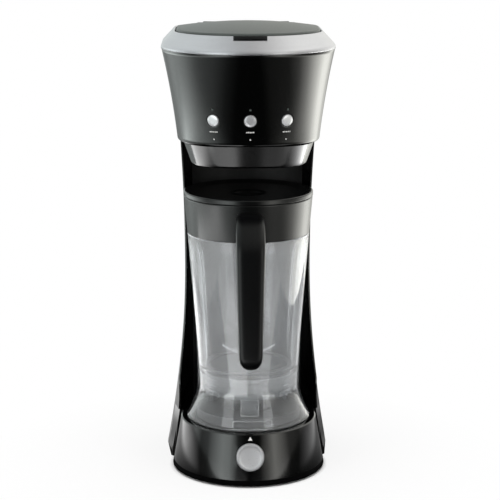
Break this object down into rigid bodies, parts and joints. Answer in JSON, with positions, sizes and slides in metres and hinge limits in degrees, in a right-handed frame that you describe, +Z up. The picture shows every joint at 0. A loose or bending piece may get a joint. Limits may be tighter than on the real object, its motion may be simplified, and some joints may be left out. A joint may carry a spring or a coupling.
{
  "type": "frappe maker",
  "caption": "Countertop frappe maker: brewing head with hinged lid and mode buttons on a waisted tower, over a motor base holding a clear twist-on blending pitcher.",
  "frame": {"origin": "the pitcher's axis where it meets the counter, which is the middle of the footprint", "axes": "+Z up along the pitcher's axis, -Y towards the front with the buttons and the handle, +X to the right seen from the front"},
  "size_m": [0.161, 0.184, 0.4243],
  "materials": {
    "gloss_black": "polished black moulding",
    "panel_black": "smooth black panel",
    "matte_black": "fine satin black",
    "rubber_dark": "matt rubber",
    "seal_grey": "silicone",
    "silver_rim": "brushed silver paint",
    "lid_grey": "satin grey",
    "button_silver": "pale silver",
    "screw_steel": "zinc plated",
    "shaft_steel": "ground stainless",
    "bush_brass": "sintered bronze",
    "magnet_iron": "ferrite and laminations",
    "coupling_plastic": "glass filled nylon",
    "clear_jar": "clear moulded plastic",
    "clear_base": "clear smoky plastic",
    "filter_mesh": "fine nylon mesh",
    "tank_plastic": "translucent grey",
    "heater_aluminium": "bare",
    "hose_silicone": "silicone hose",
    "switch_plastic": "moulded",
    "lens": "tinted lens",
    "board_green": "solder mask"
  },
  "bodies": {
    "housing": {"base_shell": "gloss_black", "base_bottom_cover": "matte_black", "base_feet": "rubber_dark", "base_cover_screws": "screw_steel", "tower_left_shell": "gloss_black", "tower_right_shell": "gloss_black", "tower_front_panel": "panel_black", "cord_gland": "matte_black", "control_board": "board_green", "head_shell": "gloss_black", "outlet_neck": "gloss_black", "outlet_spout": "matte_black", "top_rim": "silver_rim", "lid_hinge_pins": "screw_steel", "brew_well": "matte_black", "brew_basket": "matte_black", "coffee_filter": "filter_mesh", "water_tank": "tank_plastic", "flow_heater": "heater_aluminium", "heater_thermostat": "switch_plastic", "supply_hose": "hose_silicone", "riser_hose": "hose_silicone", "shower_arm": "matte_black", "switch_bracket": "switch_plastic", "touch_switches": "switch_plastic", "indicator_lenses": "lens", "motor_can": "screw_steel", "motor_end_cap": "coupling_plastic", "motor_magnets": "magnet_iron", "motor_bearings": "bush_brass", "motor_bracket": "screw_steel", "motor_screws": "screw_steel", "shaft_seal": "rubber_dark", "interlock_switch": "switch_plastic", "release_spring": "screw_steel"},
    "lid": {"top_lid": "lid_grey", "lid_tab": "matte_black"},
    "brew_key": {"brew_button": "button_silver"},
    "frappe_key": {"frappe_button": "button_silver"},
    "blend_key": {"blend_button": "button_silver"},
    "release": {"release_button": "button_silver", "release_latch": "coupling_plastic"},
    "rotor": {"rotor_core": "magnet_iron", "motor_shaft": "shaft_steel", "cooling_fan": "coupling_plastic", "drive_coupling": "coupling_plastic"},
    "lock": {"lock_ring": "coupling_plastic"},
    "pitcher": {"pitcher_jar": "clear_jar", "pitcher_collar": "gloss_black", "pitcher_handle": "matte_black", "blade_base": "clear_base", "jar_gasket": "seal_grey", "blade_bearing": "bush_brass"},
    "blades": {"driven_coupling": "coupling_plastic", "blade_shaft": "shaft_steel", "lower_blade": "shaft_steel", "upper_blade": "shaft_steel", "blade_nut": "shaft_steel"},
    "pitcher_cover": {"pitcher_lid": "gloss_black", "lid_gasket": "seal_grey"}
  },
  "joints": [
    {"name": "lid_hinge", "type": "hinge", "parent": "housing", "child": "lid", "pos_m": [0, 0.082, 0.417], "axis": [-1, 0, 0], "range_deg": [0, 100]},
    {"name": "brew_press", "type": "slide", "parent": "housing", "child": "brew_key", "axis": [0.4635, 0.8717, 0.1591], "range_m": [0, 0.0013], "stiffness_N_per_m": 400},
    {"name": "frappe_press", "type": "slide", "parent": "housing", "child": "frappe_key", "axis": [0, 0.9873, 0.1591], "range_m": [0, 0.0013], "stiffness_N_per_m": 400},
    {"name": "blend_press", "type": "slide", "parent": "housing", "child": "blend_key", "axis": [-0.4635, 0.8717, 0.1591], "range_m": [0, 0.0013], "stiffness_N_per_m": 400},
    {"name": "release_press", "type": "slide", "parent": "housing", "child": "release", "axis": [0, 0.985, -0.1726], "range_m": [0, 0.004], "stiffness_N_per_m": 500, "deforming": ["release_spring"]},
    {"name": "motor_spin", "type": "hinge", "parent": "housing", "child": "rotor", "pos_m": [0, 0, 0.04], "axis": [0, 0, 1], "continuous": true},
    {"name": "pitcher_twist", "type": "hinge", "parent": "housing", "child": "lock", "pos_m": [0, 0, 0.0545], "axis": [0, 0, 1], "range_deg": [0, 20]},
    {"name": "pitcher_lift", "type": "slide", "parent": "lock", "child": "pitcher", "axis": [0, 0, 1], "range_m": [0, 0.015]},
    {"name": "pitcher_lid_lift", "type": "slide", "parent": "pitcher", "child": "pitcher_cover", "axis": [0, 0, 1], "range_m": [0, 0.011]},
    {"name": "blade_spin", "type": "hinge", "parent": "pitcher", "child": "blades", "pos_m": [0, 0, 0.1], "axis": [0, 0, 1], "continuous": true}
  ],
  "couplings": [
    {"joint": "blade_spin", "follows": "motor_spin", "ratio": 1}
  ]
}
